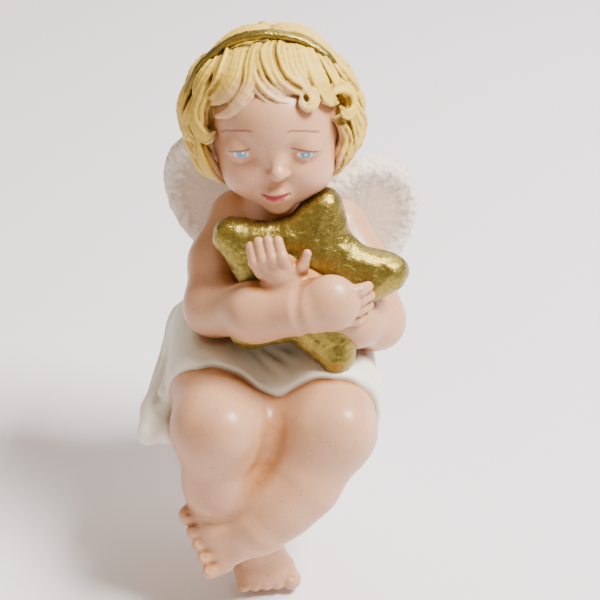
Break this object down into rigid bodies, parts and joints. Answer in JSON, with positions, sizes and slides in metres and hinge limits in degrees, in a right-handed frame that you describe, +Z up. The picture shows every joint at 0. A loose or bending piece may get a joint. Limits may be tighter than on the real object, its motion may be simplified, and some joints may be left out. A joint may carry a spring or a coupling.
{
  "type": "seated cherub figurine",
  "caption": "Painted cast resin cherub that sits on a shelf edge with crossed legs hanging, hugging a puffy gold star, with small wings, curly hair and a band.",
  "frame": {"origin": "middle of the flat underside of the drape, where the figure rests on the shelf", "axes": "+Z up out of the shelf, -Y the way the figure faces, +X towards the figure's left side"},
  "size_m": [0.0794, 0.0889, 0.1539],
  "materials": {
    "skin_paint": "cast polyresin with pale peach acrylic paint, satin, with an orange-brown wash in the creases",
    "hair_paint": "cast polyresin with cream-yellow paint and an ochre wash in the grooves between the locks, matt",
    "gold_paint": "cast polyresin with dark gold leafing paint, crackled and slightly grainy, half gloss",
    "cloth_paint": "cast polyresin with off-white paint and a grey-green wash in the folds, matt",
    "wing_paint": "cast polyresin, stippled, with off-white paint and a warm grey wash, matt",
    "dowel_steel": "plain drawn wire, hidden in the glued joints"
  },
  "bodies": {
    "root": {"head": "skin_paint", "hair": "hair_paint", "headband": "gold_paint", "torso": "skin_paint", "right_arm": "skin_paint", "left_arm": "skin_paint", "star": "gold_paint", "drape": "cloth_paint", "right_leg": "skin_paint", "left_leg": "skin_paint", "right_wing": "wing_paint", "left_wing": "wing_paint", "neck_peg": "dowel_steel", "waist_peg": "dowel_steel", "right_shoulder_peg": "dowel_steel", "left_shoulder_peg": "dowel_steel", "right_hip_peg": "dowel_steel", "left_hip_peg": "dowel_steel", "right_wing_peg": "dowel_steel", "left_wing_peg": "dowel_steel", "star_peg": "dowel_steel"}
  },
  "joints": []
}
